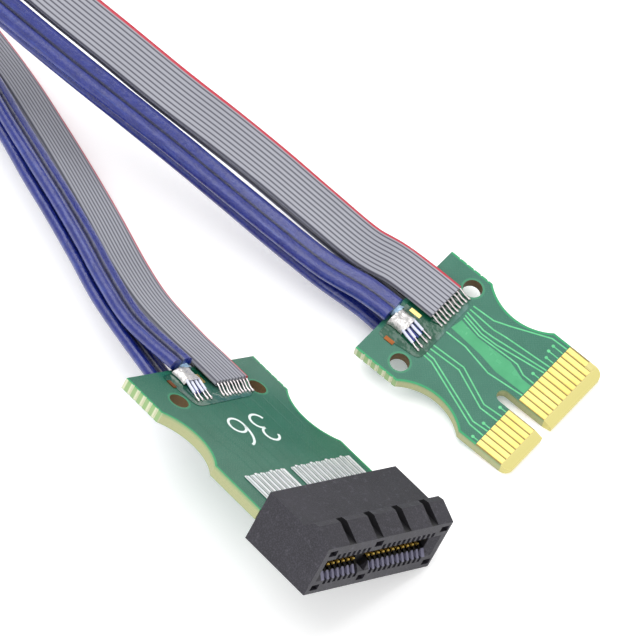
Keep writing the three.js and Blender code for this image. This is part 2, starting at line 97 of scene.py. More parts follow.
PLUG = board_matrix(19.1, 5.88, 4.574692, 180, -6.96, 0)
SOCKET = board_matrix(-9.74, 18.27, 8.765516, 169.39, 3.74, -32.44)
MIRROR_UNDER = Matrix.Translation((0, 0, UNDERSIDE)) @ Matrix.Diagonal((1, 1, -1, 1))


# Camera
def make_camera():
    camera = bpy.data.objects.new("camera", bpy.data.cameras.new("camera"))
    bpy.context.scene.collection.objects.link(camera)
    right = Vector((0.6275, -0.7754, 0.0709)).normalized()
    forward = Vector((0.4725, 0.3069, -0.8262)).normalized()
    right = (right - forward * right.dot(forward)).normalized()
    up = right.cross(forward)
    turn = Matrix((right, up, -forward)).transposed().to_4x4()
    camera.matrix_world = Matrix.Translation((-0.29676, -0.18674, 0.53965)) @ turn
    camera.data.sensor_width = 36
    camera.data.lens = 281.26
    camera.data.clip_start = 0.05
    camera.data.clip_end = 5
    bpy.context.scene.camera = camera


# Shader sockets as numbers
class Value:
    """A socket that takes part in sums. Each operator adds a Math node."""

    def __init__(self, paint, socket):
        self.paint = paint
        self.socket = socket

    def op(self, operation, *others, swap=False):
        terms = [self, *others]
        if swap:
            terms.reverse()
        return self.paint.math(operation, *terms)

    def __add__(self, other):
        return self.op("ADD", other)

    def __sub__(self, other):
        return self.op("SUBTRACT", other)

    def __mul__(self, other):
        return self.op("MULTIPLY", other)

    def __truediv__(self, other):
        return self.op("DIVIDE", other)

    def __radd__(self, other):
        return self.op("ADD", other)

    def __rsub__(self, other):
        return self.op("SUBTRACT", other, swap=True)

    def __rmul__(self, other):
        return self.op("MULTIPLY", other)

    def clamp(self):
        return self.paint.node("ShaderNodeClamp", Value=self)["Result"]

    def sine(self):
        return self.op("SINE")

    def size(self):
        return self.op("ABSOLUTE")

    def above(self, edge, soft):
        """0 below the edge and 1 above it, with a soft step."""
        return ((self - (edge - soft / 2)) * (1 / soft)).clamp()

    def below(self, edge, soft):
        return 1 - self.above(edge, soft)

    def within(self, low, high, soft):
        return self.above(low, soft) * self.below(high, soft)


class Paint:
    """A node material with one Principled shader."""

    def __init__(self, name, **constants):
        self.material = bpy.data.materials.new(name)
        self.material.use_nodes = True
        self.tree = self.material.node_tree
        self.shader = self.tree.nodes["Principled BSDF"]
        for socket, value in constants.items():
            self.shader.inputs[socket.replace("_", " ")].default_value = value

    def node(self, kind, settings=(), **sockets):
        made = self.tree.nodes.new(kind)
        for key, value in dict(settings).items():
            setattr(made, key, value)
        for key, value in sockets.items():
            self.feed(made.inputs[key.replace("_", " ")], value)
        return {out.name: Value(self, out) for out in made.outputs if out.enabled}

    def feed(self, socket, value):
        if isinstance(value, Value):
            self.tree.links.new(value.socket, socket)
        elif value is not None:
            socket.default_value = value

    def math(self, operation, *terms):
        made = self.tree.nodes.new("ShaderNodeMath")
        made.operation = operation
        for socket, term in zip(made.inputs, terms):
            self.feed(socket, term)
        return Value(self, made.outputs[0])

    def mix(self, factor, first, second):
        """One colour laid over another by a factor."""
        made = self.tree.nodes.new("ShaderNodeMix")
        made.data_type = "RGBA"
        self.feed(made.inputs[0], factor)
        self.feed(made.inputs[6], first)
        self.feed(made.inputs[7], second)
        return Value(self, made.outputs[2])

    def attribute(self, name):
        return self.node("ShaderNodeAttribute", {"attribute_name": name})["Fac"]

    def place(self, matrix=None):
        """Object coordinates, or a board's own millimetres."""
        vector = self.node("ShaderNodeTexCoord")["Object"]
        if matrix is None:
            return vector
        made = self.tree.nodes.new("ShaderNodeMapping")
        made.vector_type = "TEXTURE"
        made.inputs["Location"].default_value = matrix.to_translation()
        made.inputs["Rotation"].default_value = matrix.to_euler("XYZ")
        made.inputs["Scale"].default_value = matrix.to_scale()
        self.feed(made.inputs["Vector"], vector)
        return Value(self, made.outputs["Vector"])

    def axes(self, vector):
        parts = self.node("ShaderNodeSeparateXYZ", Vector=vector)
        return parts["X"], parts["Y"], parts["Z"]

    def noise(self, vector, scale, detail=2.0, roughness=0.5):
        made = self.node(
            "ShaderNodeTexNoise", Vector=vector, Scale=scale, Detail=detail, Roughness=roughness
        )
        return made.get("Fac") or made["Factor"]

    def bump(self, height, distance, strength=1.0):
        made = self.node(
            "ShaderNodeBump", Height=height, Distance=distance * MM, Strength=strength
        )
        self.feed(self.shader.inputs["Normal"], made["Normal"])

    def colour(self, value):
        self.feed(self.shader.inputs["Base Color"], value)

    def rough(self, value):
        self.feed(self.shader.inputs["Roughness"], value)

    def metal(self, value):
        self.feed(self.shader.inputs["Metallic"], value)


def rgb(red, green, blue):
    """A colour as the eye reads it, 0 to 255, made linear."""
    parts = [c / 255 for c in (red, green, blue)]
    linear = [c / 12.92 if c < 0.04045 else ((c + 0.055) / 1.055) ** 2.4 for c in parts]
    return (*linear, 1)


# Pieces
def finish_piece(name, mesh, materials, replaced=(), slot=None, smooth=40):
    """Mesh to an object that rides on the part."""
    data = bpy.data.meshes.new(name)
    mesh.to_mesh(data)
    mesh.free()
    piece = bpy.data.objects.new(name, data)
    bpy.context.scene.collection.objects.link(piece)
    for paint in materials:
        data.materials.append(paint.material)
    if smooth:
        data.shade_smooth()
        data.set_sharp_from_angle(angle=math.radians(smooth))
    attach(piece, "root")
    if replaced:
        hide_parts(*replaced)
    return piece


def dress(name, *paints):
    """A CAD node gets its material."""
    data = nodes[name].data
    data.materials.clear()
    for paint in paints:
        data.materials.append(paint.material)


def add_ring(mesh, points):
    verts = [mesh.verts.new(point) for point in points]
    edges = [mesh.edges.new((verts[i], verts[i - 1])) for i in range(len(verts))]
    return verts, edges


def next_ring(mesh, verts, edges):
    """The ring extruded once more, its points in the same order."""
    made = bmesh.ops.extrude_edge_only(mesh, edges=edges)["geom"]
    new = {v for v in made if isinstance(v, bmesh.types.BMVert)}
    lines = [e for e in made if isinstance(e, bmesh.types.BMEdge)]
    edges = [e for e in lines if all(v in new for v in e.verts)]
    verts = [next(e.other_vert(v) for e in v.link_edges if e.other_vert(v) in new) for v in verts]
    return verts, edges


def add_wire(mesh, points, radius, sides=8, material=0):
    """A round wire along points in a board's millimetres, with closed ends."""
    points = [Vector(point) for point in points]
    angles = [2 * math.pi * i / sides for i in range(sides)]
    verts, edges = add_ring(mesh, [(math.cos(a), math.sin(a), 0) for a in angles])
    before = len(mesh.faces)
    first = verts
    for i, point in enumerate(points):
        heading = (points[min(i + 1, len(points) - 1)] - points[max(i - 1, 0)]).normalized()
        across = (Vector((1, 0, 0)) - heading * heading.x).normalized()
        rise = across.cross(heading)
        if i:
            verts, edges = next_ring(mesh, verts, edges)
        thick = radius[i] if isinstance(radius, (list, tuple)) else radius
        for vert, a in zip(verts, angles):
            vert.co = point + (across * math.cos(a) + rise * math.sin(a)) * thick
    bmesh.ops.contextual_create(mesh, geom=first)
    bmesh.ops.contextual_create(mesh, geom=verts)
    mesh.faces.ensure_lookup_table()
    added = mesh.faces[before:]
    bmesh.ops.recalc_face_normals(mesh, faces=added)
    for face in added:
        face.material_index = material


def add_strip(mesh, points, width, height, material=0):
    """A thin flat run on a board's face along points (v, u)."""
    line = [Vector((v, u, 0)) for v, u in points]
    before = len(mesh.faces)
    for side in (-1, 1):
        row = []
        for i, point in enumerate(line):
            into = (point - line[max(i - 1, 0)]).normalized()
            away = (line[min(i + 1, len(line) - 1)] - point).normalized()
            across = Vector((-(into + away).y, (into + away).x, 0)).normalized()
            row.append(mesh.verts.new(point + across * side * width / 2 + Vector((0, 0, height))))
        edges = [mesh.edges.new(pair) for pair in zip(row, row[1:])]
        if side < 0:
            first = edges
    bmesh.ops.bridge_loops(mesh, edges=first + edges)
    mesh.faces.ensure_lookup_table()
    close_sheet(mesh, mesh.faces[before:], height, material)


def close_sheet(mesh, faces, height, material):
    """Walls and a base under a flat sheet, down to the board."""
    before = len(mesh.faces) - len(faces)
    base = bmesh.ops.extrude_face_region(mesh, geom=faces)["geom"]
    lowered = [v for v in base if isinstance(v, bmesh.types.BMVert)]
    bmesh.ops.translate(mesh, vec=(0, 0, -height), verts=lowered)
    mesh.faces.ensure_lookup_table()
    added = mesh.faces[before:]
    bmesh.ops.recalc_face_normals(mesh, faces=added)
    for face in added:
        face.material_index = material


def add_plate(mesh, outline, height, material=0, rim=0.0, crown=0.0):
    """A flat patch on a board's face, its rim drawn in and raised where one is given."""
    before = len(mesh.faces)
    verts, edges = add_ring(mesh, [(v, u, height) for v, u in outline])
    top = bmesh.ops.contextual_create(mesh, geom=verts)["faces"]
    if rim:
        bmesh.ops.recalc_face_normals(mesh, faces=top)
        if top[0].normal.z < 0:
            bmesh.ops.reverse_faces(mesh, faces=top)
        for share in (0.5, 0.5):
            bmesh.ops.inset_region(mesh, faces=top, thickness=rim * share, depth=crown * share)
    mesh.faces.ensure_lookup_table()
    close_sheet(mesh, mesh.faces[before:], height, material)


def rounded(corners, radius, steps=5):
    """An outline with each corner turned by a short curve."""
    outline = []
    count = len(corners)
    for i, corner in enumerate(corners):
        here = Vector((*corner, 0))
        before = Vector((*corners[i - 1], 0)) - here
        after = Vector((*corners[(i + 1) % count], 0)) - here
        start = here + before.normalized() * min(radius, before.length / 2)
        end = here + after.normalized() * min(radius, after.length / 2)
        for k in range(steps + 1):
            t = k / steps
            point = start * (1 - t) ** 2 + here * (2 * t * (1 - t)) + end * t**2
            outline.append((point.x, point.y))
    return outline


def board_piece(name, mesh, board, paints, under=False, **rest):
    """A piece drawn in a board's millimetres, on its top face or its underside."""
    if under:
        bmesh.ops.transform(mesh, matrix=MIRROR_UNDER, verts=mesh.verts)
        bmesh.ops.reverse_faces(mesh, faces=mesh.faces)
    bmesh.ops.transform(mesh, matrix=board, verts=mesh.verts)
    return finish_piece(name, mesh, paints, **rest)


# Routes of the free stretch of each cable, as in the CAD source: x, y, z in millimetres
# and the turn of the cable's width about its run in degrees
OUTER_RIBBON_ROUTE = [
    [22.0, 9.8, 6.0, 0], [20.9, 13.6, 7.1, -1], [20.5, 21.7, 9.0, -3], [20.2, 29.4, 10.9, -6],
    [19.6, 37.1, 12.9, -9], [18.7, 44.8, 15.1, -12], [17.8, 54.5, 18.0, -14],
    [16.8, 63.9, 21.0, -16], [16.1, 71.9, 23.9, -17], [15.5, 79.9, 27.0, -17],
    [15.1, 86.9, 29.9, -17], [15.0, 93.4, 32.3, -17], [15.0, 99.9, 33.4, -17],
    [15.2, 107.9, 31.3, -17], [15.9, 113.7, 25.4, -17], [16.8, 115.9, 17.4, -17],
    [17.8, 113.7, 9.5, -17], [18.6, 107.9, 3.8, -17], [19.1, 99.9, 1.8, -17],
    [18.9, 92.9, 1.9, -18], [17.6, 85.9, 2.2, -22], [15.5, 77.9, 2.4, -27],
    [12.5, 68.1, 2.6, -33], [9.2, 59.7, 2.9, -33], [5.6, 51.4, 3.4, -33],
    [1.7, 43.3, 3.9, -33], [-2.3, 35.1, 4.5, -33], [-5.2, 28.9, 4.8, -33],
    [-7.2, 22.7, 5.1, -33],
]
INNER_RIBBON_ROUTE = [
    [22.1, 11.1, 3.4, 0], [20.7, 20.2, 7.1, -3], [20.5, 26.2, 8.6, -5], [20.2, 32.2, 10.2, -7],
    [19.5, 40.3, 12.4, -10], [18.7, 48.3, 14.7, -13], [18.0, 56.3, 17.2, -15],
    [17.2, 64.3, 19.7, -16], [16.5, 72.4, 22.5, -17], [15.9, 80.4, 25.7, -17],
    [15.5, 87.4, 28.7, -17], [15.4, 93.8, 31.0, -17], [15.4, 99.9, 32.0, -17],
    [15.6, 107.2, 30.1, -17], [16.3, 112.6, 24.7, -17], [17.2, 114.5, 17.4, -17],
    [18.2, 112.6, 10.2, -17], [19.0, 107.3, 5.0, -17], [19.5, 99.8, 3.2, -17],
    [19.4, 93.9, 3.2, -18], [18.1, 85.8, 3.5, -22], [16.1, 77.7, 3.7, -27],
    [13.2, 67.9, 3.9, -33], [9.9, 59.6, 4.2, -33], [6.3, 51.3, 4.6, -33],
    [2.6, 43.4, 5.1, -33], [-1.5, 35.1, 5.7, -33], [-3.8, 29.5, 6.2, -33],
    [-5.9, 22.0, 7.3, -33],
]
OUTER_DATA_ROUTE = [
    [15.9, 9.9, 6.4, 0], [14.9, 15.7, 7.2, -1], [14.5, 24.3, 8.7, -3], [14.2, 32.6, 10.4, -4],
    [13.7, 40.9, 12.5, -6], [12.9, 49.1, 14.8, -8], [12.0, 57.4, 17.3, -10],
    [11.2, 65.6, 19.9, -12], [10.6, 72.1, 22.2, -15], [10.0, 80.2, 25.4, -17],
    [9.6, 87.3, 28.3, -17], [9.5, 93.9, 30.7, -17], [9.5, 99.9, 31.7, -17],
    [9.7, 107.3, 29.7, -17], [10.4, 112.6, 24.1, -17], [11.3, 114.2, 16.7, -17],
    [12.3, 112.0, 9.7, -17], [13.1, 106.7, 4.9, -17], [13.6, 99.6, 3.4, -17],
    [13.5, 94.4, 3.5, -18], [12.4, 87.2, 4.2, -22], [10.6, 79.3, 4.9, -27],
    [8.2, 71.2, 5.5, -32], [4.3, 61.0, 5.8, -33], [1.1, 54.1, 6.1, -33],
    [-1.9, 47.3, 6.5, -33], [-5.1, 40.5, 7.0, -33], [-8.4, 33.8, 7.5, -33],
    [-12.0, 24.2, 8.1, -33],
]
INNER_DATA_ROUTE = [
    [16.0, 10.1, 2.9, 0], [15.0, 16.1, 4.7, -1], [14.6, 24.4, 6.5, -3], [14.4, 32.4, 8.2, -4],
    [14.0, 40.5, 10.2, -6], [13.3, 48.5, 12.5, -8], [12.4, 57.5, 15.2, -10],
    [11.7, 65.5, 17.7, -12], [11.2, 72.6, 20.1, -15], [10.7, 80.7, 23.2, -17],
    [10.2, 87.7, 26.2, -17], [10.1, 94.0, 28.6, -17], [10.1, 99.9, 29.6, -17],
    [10.3, 106.1, 28.1, -17], [11.0, 110.5, 23.6, -17], [11.9, 112.2, 17.4, -17],
    [12.9, 110.6, 11.3, -17], [13.7, 106.1, 6.9, -17], [14.2, 99.7, 5.4, -17],
    [14.1, 94.0, 5.5, -18], [12.9, 85.9, 6.3, -23], [11.2, 77.8, 6.9, -28],
    [8.8, 69.6, 7.4, -33], [5.0, 60.6, 7.6, -33], [2.1, 53.8, 7.9, -33],
    [-0.7, 47.3, 8.3, -33], [-3.7, 40.8, 8.7, -33], [-6.9, 34.4, 9.2, -33],
    [-9.7, 27.8, 9.9, -33],
]


def curve_point(p0, p1, p2, p3, share):
    """Point and heading on a centripetal Catmull-Rom span, worked out as the CAD does."""
    gaps = [max((b - a).length_squared ** 0.25, 1e-9) for a, b in ((p0, p1), (p1, p2), (p2, p3))]
    before, here, after = gaps
    lead = ((p1 - p0) / before - (p2 - p0) / (before + here) + (p2 - p1) / here) * here
    leave = ((p2 - p1) / here - (p3 - p1) / (here + after) + (p3 - p2) / after) * here
    square = p1 * -3 + p2 * 3 - lead * 2 - leave
    cube = p1 * 2 - p2 * 2 + lead + leave
    point = p1 + lead * share + square * share**2 + cube * share**3
    heading = lead + square * (2 * share) + cube * (3 * share**2)
    return point, heading.normalized()


def sample_route(points, turns):
    """Evenly spaced places along a route: point, heading, turn and distance."""
    fine = 40
    ends = [points[0] * 2 - points[1], *points, points[-1] * 2 - points[-2]]
    dense = []
    for i in range(len(points) - 1):
        for j in range(fine):
            point, heading = curve_point(*ends[i : i + 4], j / fine)
            turn = turns[i] + (turns[i + 1] - turns[i]) * j / fine
            dense.append((point, heading, turn))
    point, heading = curve_point(*ends[len(points) - 2 : len(points) + 2], 1)
    dense.append((point, heading, turns[-1]))
    run = [0.0]
    for before, after in zip(dense, dense[1:]):
        run.append(run[-1] + (after[0] - before[0]).length)
    places = []
    k = 0
    for i in range(CORD_RINGS + 1):
        goal = run[-1] * i / CORD_RINGS
        while k < len(run) - 2 and run[k + 1] < goal:
            k += 1
        share = (goal - run[k]) / max(run[k + 1] - run[k], 1e-12)
        point = dense[k][0].lerp(dense[k + 1][0], share)
        heading = dense[k][1].lerp(dense[k + 1][1], share).normalized()
        turn = dense[k][2] + (dense[k + 1][2] - dense[k][2]) * share
        places.append((point, heading, turn, goal))
    return places


def cord_ends(board, centre, end, thickness, under):
    rise = CORD_GAP + thickness / 2
    w = UNDERSIDE - rise if under else rise
    return [board @ Vector((centre, u, w)) for u in (end, -CORD_LEAD)]


def sweep_cord(name, section, route, centre, end, thickness, starts_under, shape):
    """A flat cable along its route, with the place across, along and above kept for its paint."""
    start = cord_ends(PLUG, centre, end, thickness, starts_under)
    finish = cord_ends(SOCKET, centre, end, thickness, not starts_under)[::-1]
    free = [Vector(point[:3]) * MM for point in route]
    turns = [0, 0, *[point[3] for point in route], route[-1][3], route[-1][3]]
    places = sample_route([*start, *free, *finish], turns)
    mesh = bmesh.new()
    across_layer = mesh.verts.layers.float.new("across")
    along_layer = mesh.verts.layers.float.new("along")
    above_layer = mesh.verts.layers.float.new("above")
    rings = []
    verts, edges = add_ring(mesh, [(x, y, 0) for x, y in section])
    first = verts
    for i, (point, heading, turn, run) in enumerate(places):
        level = (Vector((1, 0, 0)) - heading * heading.x).normalized()
        level = Matrix.Rotation(math.radians(turn), 3, heading) @ level
        rise = heading.cross(level)
        if i:
            verts, edges = next_ring(mesh, verts, edges)
        for vert, (x, y) in zip(verts, section):
            x, y = shape(x, y, run / MM)
            vert.co = point + (level * x + rise * y) * MM
            vert[across_layer] = x
            vert[along_layer] = run / MM
            vert[above_layer] = y
        rings.append(point)
    bmesh.ops.contextual_create(mesh, geom=first)
    bmesh.ops.contextual_create(mesh, geom=verts)
    bmesh.ops.recalc_face_normals(mesh, faces=mesh.faces)
    return mesh, rings, places[-1][3]


def ribbon_section():
    """Ten round cores side by side."""
    radius = RIBBON_THICKNESS / 2
    half = CORE_PITCH / 2
    valley = math.acos(half / radius * 0.96)
    points = []
    for side in (1, -1):
        for i in range(RIBBON_CORES):
            centre = side * (RIBBON_WIDTH / 2 - radius - i * (RIBBON_WIDTH - 2 * radius) / (RIBBON_CORES - 1))
            if i == 0:
                angles = [0, 22, 45, 68, 90, 112]
            elif i == RIBBON_CORES - 1:
                angles = [68, 90, 112, 135, 158]
            else:
                angles = [62, 80, 100, 118]
            for angle in angles:
                a = math.radians(angle)
                points.append((centre + side * radius * math.cos(a), side * radius * math.sin(a)))
    return points


def data_section():
    """Two round cores wrapped side by side in film."""
    radius = DATA_THICKNESS / 2
    offset = DATA_WIDTH / 2 - radius
    points = []
    for side in (1, -1):
        for angle in range(-90, 91, 15):
            a = math.radians(angle)
            points.append((side * (offset + radius * math.cos(a)), side * radius * math.sin(a)))
        points.append((side * offset * 0.4, side * radius * 0.96))
        points.append((side * 0.2, side * radius * 0.86))
        points.append((side * 0.07, side * radius * 0.42))
    return points


def plain_shape(x, y, run):
    return x, y


def creased(seed):
    """Small creases and dents of film wrapped round the cores."""

    def shape(x, y, run):
        dent = noise.noise(Vector((x * 0.7, y * 0.7, run * 0.16 + seed * 31)))
        crease = noise.noise(Vector((x * 1.6, y * 1.2 + 7, run * 0.45 + seed * 17)))
        scale = 1 - 0.03 * max(dent, 0) - 0.025 * max(crease, 0)
        return x * (0.5 + scale / 2), y * scale

    return shape


def make_cords():
    grey = ribbon_paint()
    blue = data_paint()
    made = {}
    for layer, under, ribbon_route, data_route in (
        ("outer", False, OUTER_RIBBON_ROUTE, OUTER_DATA_ROUTE),
        ("inner", True, INNER_RIBBON_ROUTE, INNER_DATA_ROUTE),
    ):
        mesh, rings, length = sweep_cord(
            f"ribbon_{layer}", ribbon_section(), ribbon_route, RIBBON_CENTRE, RIBBON_END,
            RIBBON_THICKNESS, under, plain_shape,
        )
        ribbon = finish_piece(
            f"ribbon_cable_{layer}", mesh, [grey], [f"ribbon_{layer}"], "ribbon_jacket", 75
        )
        seed = 1 if under else 2
        mesh, rings, length = sweep_cord(
            f"data_{layer}", data_section(), data_route, DATA_CENTRE, DATA_END,
            DATA_THICKNESS, under, creased(seed),
        )
        data = finish_piece(
            f"twin_data_cable_{layer}", mesh, [blue], [f"data_cable_{layer}"], "data_jacket", 75
        )
        made[layer] = (ribbon, data)
    return made


# Finishes
def ribbon_paint():
    """Matt grey plastic with painted shade in the valleys between the cores and a red first core."""
    paint = Paint("grey_ribbon_jacket", Specular_IOR_Level=0.4)
    across = paint.attribute("across")
    along = paint.attribute("along")
    pitch = (RIBBON_WIDTH - RIBBON_THICKNESS) / (RIBBON_CORES - 1)
    phase = (across * (2 * math.pi / pitch) + math.pi * (RIBBON_CORES - 1)).op("COSINE")
    # Painted shade: the colour is darkened in the valleys between the round cores.
    valley = phase.below(-0.5, 0.7)
    coords = paint.place()
    grain = paint.noise(coords, 900, 3)
    wide = paint.noise(coords, 60, 2)
    grey = paint.mix(wide, rgb(140, 141, 150), rgb(168, 169, 178))
    grey = paint.mix(valley * 0.9, grey, rgb(66, 66, 78))
    red_edge = paint.noise(paint.node("ShaderNodeCombineXYZ", X=along * 0.3)["Vector"], 1.0, 2)
    red = (across + (red_edge - 0.5) * 0.1).above(RIBBON_WIDTH / 2 - 0.5, 0.1)
    paint.colour(paint.mix(red * (0.75 + grain * 0.25), grey, rgb(190, 26, 50)))
    paint.rough(0.42 + grain * 0.22)
    paint.bump(grain, 0.02, 0.5)
    return paint


def data_paint():
    """Glossy blue film wrapped over two cores, with creases, pale streaks along the run and painted shade in the groove
    between the cores.
    """
    paint = Paint("blue_film_jacket", Specular_IOR_Level=0.6, Coat_Roughness=0.15)
    across = paint.attribute("across")
    along = paint.attribute("along")
    stretch = paint.node("ShaderNodeCombineXYZ", X=across * 0.9, Y=along * 0.35)["Vector"]
    crease = paint.noise(stretch, 1.4, 4, 0.6)
    fine = paint.noise(paint.node("ShaderNodeCombineXYZ", X=across * 3, Y=along * 0.8)["Vector"], 2, 3)
    streak = paint.noise(paint.node("ShaderNodeCombineXYZ", X=across * 2.2, Y=along * 0.12)["Vector"], 1.5, 3)
    base = paint.mix(crease, rgb(10, 20, 88), rgb(26, 44, 140))
    # Pale streaks stretched along the run.
    base = paint.mix(streak.above(0.64, 0.16) * 0.2, base, rgb(92, 122, 204))
    # Painted shade: a dark line down the groove between the two cores.
    groove_shade = across.size().below(0.24, 0.2)
    base = paint.mix(groove_shade * 0.85, base, rgb(6, 10, 48))
    paint.colour(base)
    paint.rough(0.16 + fine * 0.24)
    paint.feed(paint.shader.inputs["Coat Weight"], 0.25 + crease * 0.25)
    paint.bump(crease * 0.7 + fine * 0.3, 0.22, 0.8)
    return paint


def waist_rim(v, u, width, soft):
    """1 within a narrow band along a board's long edges, round the waist."""
    half = width / 2
    chord = (WAIST_END - WAIST_START) / 2
    radius = (chord**2 + WAIST_DEPTH**2) / (2 * WAIST_DEPTH)
    side = v.size()
    across = side - (half - WAIST_DEPTH + radius)
    along = u - (WAIST_START + WAIST_END) / 2
    bowed = (across * across + along * along).op("SQRT").below(radius + soft, 0.08)
    beside_waist = u.within(WAIST_START, WAIST_END, 0.01)
    straight = side.above(half - soft, 0.08)
    return bowed * beside_waist + straight * (1 - beside_waist)


def board_paint(name, board, mask, width, length, plug):
    """Glossy solder mask over laminate, with bare edges, copper runs and printed marks."""
    paint = Paint(name, Specular_IOR_Level=0.5)
    coords = paint.place(board)
    v, u, w = paint.axes(coords)
    cloud = paint.noise(coords, 0.3, 3)
    grain = paint.noise(coords, 9, 3)
    weave = (v * 14).sine() * (u * 14).sine() * 0.5 + 0.5
    on_face = (w - MIDDLE).size().above(THICKNESS / 2 - 0.03, 0.02)
    base = paint.mix(cloud, *mask)
    base = paint.mix(weave * 0.1, base, rgb(96, 150, 130))
    rim = waist_rim(v, u, width, 0.3)
    base = paint.mix(rim * 0.75, base, rgb(30, 160, 96))
    lines = v * 0
    if not plug:
        for i in range(9):
            bend = ((u - 13) * 0.3).clamp() * (1.0 - 0.25 * i)
            run = (v + 9.0 - i * 2.15 - bend).size().below(0.12, 0.12)
            lines = lines.op("MAXIMUM", run * u.within(7.6, 19.8, 0.3))
        base = paint.mix(lines * 0.2, base, rgb(16, 84, 66))
    laminate = paint.mix(grain, rgb(150, 152, 112), rgb(190, 190, 142))
    plies = (w * 26).sine() * 0.5 + 0.5
    laminate = paint.mix(plies * 0.25, laminate, rgb(120, 142, 96))
    laminate = paint.mix(w.above(-0.3, 0.3) * 0.5, laminate, rgb(70, 150, 100))
    bars = (u * (2 * math.pi / 1.18) - 0.9).op("COSINE").above(0.1, 0.5)
    near_end = u.below(7.0, 0.2) * v.size().above(width / 2 - 0.2, 0.05)
    laminate = paint.mix(near_end * bars * 0.8, laminate, rgb(212, 214, 186))
    laminate = paint.mix(near_end * (1 - bars) * 0.7, laminate, rgb(134, 176, 116))
    away = None
    for side in (-1, 1):
        across = v - side * HOLE_PLACE
        along = u - HOLE_FROM_END
        gap = (across * across + along * along).op("SQRT")
        away = gap if away is None else away.op("MINIMUM", gap)
    # Hole walls in dark brown: partly the wall's own colour, partly painted shade inside the hole.
    hole_wall_and_shade = away.below(HOLE_RADIUS + 0.06, 0.04)
    laminate = paint.mix(hole_wall_and_shade, laminate, rgb(96, 74, 40))
    base = paint.mix(away.below(HOLE_RADIUS + 0.28, 0.1) * 0.5, base, rgb(60, 150, 104))
    metal = v * 0
    if plug:
        finger = v * 0
        for x in PINS:
            end = 23.4 if x == PINS[-1] else FINGER_END
            bar = (v - x).size().below(0.4, 0.03) * u.within(FINGER_START - 0.02, end, 0.04)
            finger = finger.op("MAXIMUM", bar)
        gold_zone = u.above(FINGER_START - 0.02, 0.04)
        bare_tip = paint.mix(grain, rgb(196, 184, 108), rgb(222, 212, 144))
        past_short = v.below(PINS[-1] + 0.5, 0.05) * u.above(23.4, 0.04)
        between = u.below(FINGER_END, 0.04) * (1 - past_short) * 0.8
        bare_tip = paint.mix(between, bare_tip, rgb(104, 84, 30))
        base = paint.mix(gold_zone, base, bare_tip)
        base = paint.mix(finger, base, paint.mix(cloud, rgb(230, 200, 104), rgb(252, 234, 150)))
        laminate = paint.mix(u.above(length - 1.35, 0.1), laminate, rgb(206, 196, 122))
        metal = finger * on_face * 0.85
    paint.colour(paint.mix(on_face, laminate, base))
    paint.metal(metal)
    paint.rough(0.2 + grain * 0.12 + (1 - on_face) * 0.4 + metal * 0.1)
    relief = lines * 0.5 + grain * 0.15 + weave * 0.1 + plies * (1 - on_face) * 0.4
    paint.bump(relief, 0.04, 0.5)
    return paint


def plastic_paint():
    """Moulded black plastic with a fine grain and pale scuffs, a painted highlight where the mouth catches light, and
    painted shade inside the slot and along the lip's grooves.
    """
    paint = Paint("black_moulded_plastic", Specular_IOR_Level=0.4)
    coords = paint.place()
    v, u, w = paint.axes(paint.place(SOCKET))
    fine = paint.noise(coords, 5200, 4, 0.6)
    wide = paint.noise(coords, 240, 4, 0.6)
    base = paint.mix(wide, rgb(24, 23, 29), rgb(46, 44, 52))
    base = paint.mix(fine.above(0.56, 0.2) * 0.25, base, rgb(98, 96, 108))
    scuff = paint.noise(paint.place(SOCKET), 1.1, 5, 0.7).above(0.62, 0.1)
    base = paint.mix(scuff * 0.16, base, rgb(120, 118, 130))
    lead_in = w.within(-2.5, -1.62, 0.06) * u.above(HOUSING_FRONT - 0.8, 0.1)
    lead_in = lead_in * v.size().below(10.4, 0.1) * (v - 2.23).size().above(1.3, 0.1)
    base = paint.mix(lead_in * 0.75, base, rgb(122, 120, 144))
    # Painted shade: the inside of the card slot goes near black.
    slot_shade = u.within(HOUSING_BACK + 1, HOUSING_FRONT - 0.85, 0.1) * (w - MIDDLE).size().below(2.45, 0.05)
    slot_shade = slot_shade * v.size().below(10.9, 0.05)
    base = paint.mix(slot_shade * 0.92, base, rgb(6, 6, 8))
    # Painted shade: the lip's grooves, and their strip on the top face, are darkened.
    groove_shade = v * 0
    for place in LIP_GROOVES:
        beside = (v - place).size()
        groove_shade = groove_shade.op("MAXIMUM", beside.below(LIP_GROOVE_WIDTH / 2 + 0.01, 0.02))
    groove_shade = groove_shade * w.above(2.9, 0.02) * u.above(HOUSING_FRONT - LIP_START, 0.1)
    base = paint.mix(groove_shade * 0.85, base, rgb(8, 8, 10))
    paint.colour(base)
    paint.rough(0.4 + fine * 0.3)
    paint.bump(fine * 0.8 + wide * 0.4, 0.04, 0.7)
    return paint


def contact_paint():
    """Socket contacts: bright gold on the rounded bump, partly plating and partly a painted highlight; tinned on the
    tail; painted shade, near black, deep in the slits.
    """
    paint = Paint("socket_contact_plating", Metallic=0.9)
    coords = paint.place()
    v, u, w = paint.axes(paint.place(SOCKET))
    cloud = paint.noise(coords, 700, 3)
    # Gold on the bump band, painted bright partly as the bump's highlight.
    bump = u.within(35.2, 36.0, 0.1)
    shade = u.above(HOUSING_BACK + 0.8, 0.5)
    tinned = paint.mix(cloud, rgb(234, 234, 238), rgb(255, 255, 255))
    # Painted shade: the contacts go near black deep inside the housing.
    shaded_tin = paint.mix(shade, tinned, rgb(20, 17, 10))
    paint.colour(paint.mix(bump, shaded_tin, rgb(255, 216, 110)))
    paint.rough(0.24 + cloud * 0.2)
    paint.bump(cloud, 0.02, 0.5)
    return paint


def plated_paint(name, low, high, rough, metal=1.0):
    """Plated metal with a slight cloud and fine drawn lines."""
    paint = Paint(name, Metallic=metal)
    coords = paint.place()
    cloud = paint.noise(coords, 700, 3)
    fine = paint.noise(coords, 6000, 2)
    paint.colour(paint.mix(cloud, low, high))
    paint.rough(rough + fine * 0.2)
    paint.bump(cloud * 0.6 + fine * 0.4, 0.02, 0.5)
    return paint


